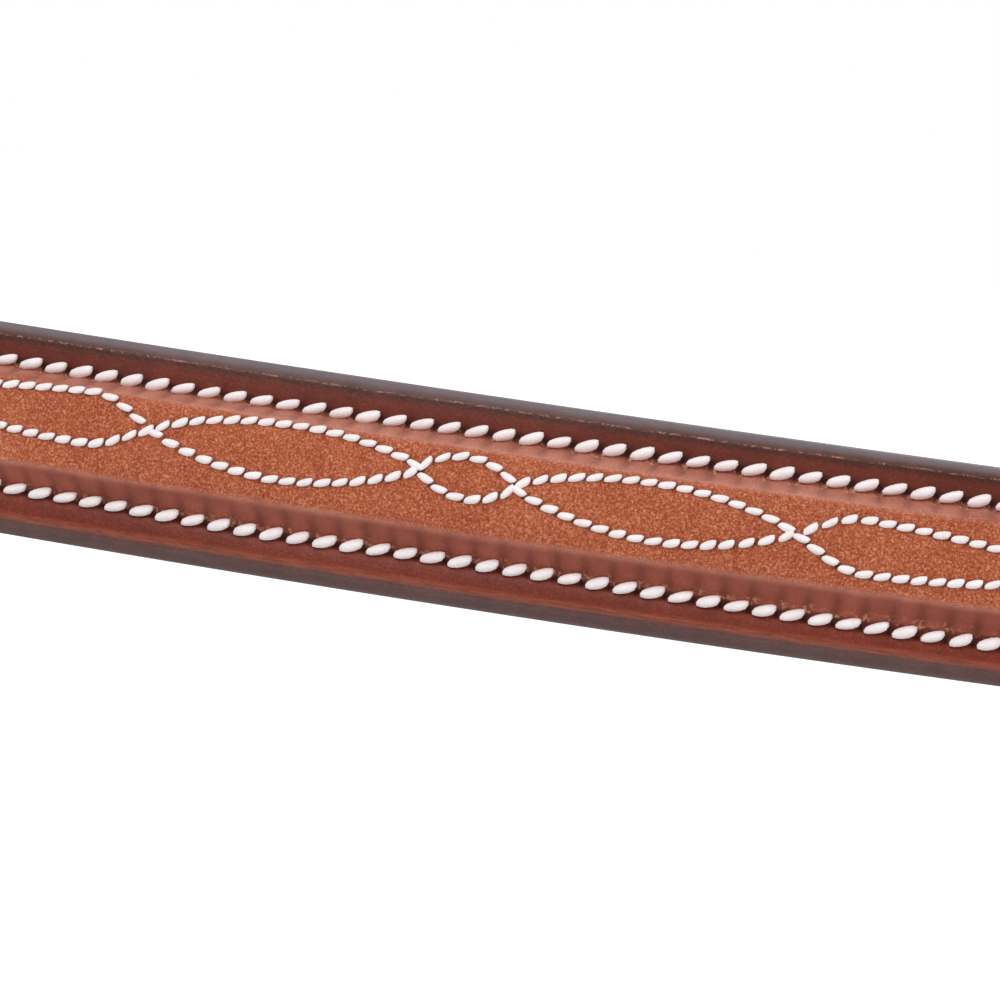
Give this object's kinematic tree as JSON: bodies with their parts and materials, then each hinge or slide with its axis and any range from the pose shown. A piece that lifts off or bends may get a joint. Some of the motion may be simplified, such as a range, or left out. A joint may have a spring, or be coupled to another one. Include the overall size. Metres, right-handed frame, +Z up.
{
  "type": "hunter bridle",
  "caption": "Leather bridle headstall with a raised padded browband and cavesson noseband, buckled cheekpieces with bit loops, and a throatlatch; it hangs from its crown.",
  "frame": {"origin": "on the flat underside of the noseband hanger, where the bridle rests on the poll", "axes": "+Z up through the poll, -Y towards the forehead and nose, -X towards the near (left) side"},
  "size_m": [0.2058, 0.227, 0.4553],
  "materials": {
    "strap_leather": "smooth, waxed",
    "raised_leather": "fine grained",
    "lining_leather": "matt",
    "padding": "rough",
    "keeper_leather": "smooth",
    "steel": "polished"
  },
  "bodies": {
    "headpiece": {"crownpiece": "strap_leather", "noseband_hanger": "strap_leather", "hanger_short_strap": "strap_leather", "hanger_buckle_frame": "steel", "hanger_fixed_keeper": "keeper_leather", "throatlatch": "strap_leather", "near_cheekpiece": "strap_leather", "near_cheek_buckle_frame": "steel", "near_cheek_fixed_keeper": "keeper_leather", "near_cheek_bit_billet": "strap_leather", "near_cheek_hook_stud": "steel", "near_cheek_bit_keeper_upper": "keeper_leather", "near_cheek_bit_keeper_lower": "keeper_leather", "near_throat_buckle_frame": "steel", "near_throat_fixed_keeper": "keeper_leather", "off_cheekpiece": "strap_leather", "off_cheek_buckle_frame": "steel", "off_cheek_fixed_keeper": "keeper_leather", "off_cheek_bit_billet": "strap_leather", "off_cheek_hook_stud": "steel", "off_cheek_bit_keeper_upper": "keeper_leather", "off_cheek_bit_keeper_lower": "keeper_leather", "off_throat_buckle_frame": "steel", "off_throat_fixed_keeper": "keeper_leather"},
    "browband": {"browband_backing": "lining_leather", "browband_core": "padding", "browband_face": "raised_leather"},
    "noseband": {"noseband_backing": "lining_leather", "noseband_core": "padding", "noseband_face": "raised_leather", "near_jaw_strap": "strap_leather", "off_jaw_strap": "strap_leather", "jaw_buckle_frame": "steel", "jaw_fixed_keeper": "keeper_leather"},
    "near_cheek_tongue": {"near_cheek_buckle_tongue": "steel"},
    "near_cheek_runner": {"near_cheek_runner_keeper": "keeper_leather"},
    "off_cheek_tongue": {"off_cheek_buckle_tongue": "steel"},
    "off_cheek_runner": {"off_cheek_runner_keeper": "keeper_leather"},
    "near_throat_tongue": {"near_throat_buckle_tongue": "steel"},
    "near_throat_runner": {"near_throat_runner_keeper": "keeper_leather"},
    "off_throat_tongue": {"off_throat_buckle_tongue": "steel"},
    "off_throat_runner": {"off_throat_runner_keeper": "keeper_leather"},
    "hanger_tongue": {"hanger_buckle_tongue": "steel"},
    "hanger_runner": {"hanger_runner_keeper": "keeper_leather"},
    "jaw_tongue": {"jaw_buckle_tongue": "steel"},
    "jaw_runner": {"jaw_runner_keeper": "keeper_leather"}
  },
  "joints": [
    {"name": "browband_slide", "type": "slide", "parent": "headpiece", "child": "browband", "axis": [0, 0, 1], "range_m": [-0.012, 0.008]},
    {"name": "noseband_tilt", "type": "hinge", "parent": "headpiece", "child": "noseband", "pos_m": [0, 0, -0.3375], "axis": [1, 0, 0], "range_deg": [-5, 5]},
    {"name": "near_cheek_tongue_lift", "type": "hinge", "parent": "headpiece", "child": "near_cheek_tongue", "pos_m": [-0.0905, 0, -0.215], "axis": [0, -1, 0], "range_deg": [0, 8]},
    {"name": "near_cheek_runner_slide", "type": "slide", "parent": "headpiece", "child": "near_cheek_runner", "axis": [0, 0, -1], "range_m": [-0.004, 0.01]},
    {"name": "off_cheek_tongue_lift", "type": "hinge", "parent": "headpiece", "child": "off_cheek_tongue", "pos_m": [0.0905, 0, -0.215], "axis": [0, 1, 0], "range_deg": [0, 8]},
    {"name": "off_cheek_runner_slide", "type": "slide", "parent": "headpiece", "child": "off_cheek_runner", "axis": [0, 0, -1], "range_m": [-0.004, 0.01]},
    {"name": "near_throat_tongue_lift", "type": "hinge", "parent": "headpiece", "child": "near_throat_tongue", "pos_m": [-0.0905, 0.01815, -0.15], "axis": [0, -1, 0], "range_deg": [0, 8]},
    {"name": "near_throat_runner_slide", "type": "slide", "parent": "headpiece", "child": "near_throat_runner", "axis": [0, 0, -1], "range_m": [-0.004, 0.01]},
    {"name": "off_throat_tongue_lift", "type": "hinge", "parent": "headpiece", "child": "off_throat_tongue", "pos_m": [0.0905, 0.01815, -0.15], "axis": [0, 1, 0], "range_deg": [0, 8]},
    {"name": "off_throat_runner_slide", "type": "slide", "parent": "headpiece", "child": "off_throat_runner", "axis": [0, 0, -1], "range_m": [-0.004, 0.01]},
    {"name": "hanger_tongue_lift", "type": "hinge", "parent": "headpiece", "child": "hanger_tongue", "pos_m": [-0.0707, 0, -0.258], "axis": [0, -1, 0], "range_deg": [0, 8]},
    {"name": "hanger_runner_slide", "type": "slide", "parent": "headpiece", "child": "hanger_runner", "axis": [0, 0, -1], "range_m": [-0.004, 0.01]},
    {"name": "jaw_tongue_lift", "type": "hinge", "parent": "noseband", "child": "jaw_tongue", "pos_m": [0.012, 0.10455, -0.34], "axis": [0, 0, 1], "range_deg": [0, 8]},
    {"name": "jaw_runner_slide", "type": "slide", "parent": "noseband", "child": "jaw_runner", "axis": [-1, 0, 0], "range_m": [-0.004, 0.01]}
  ]
}
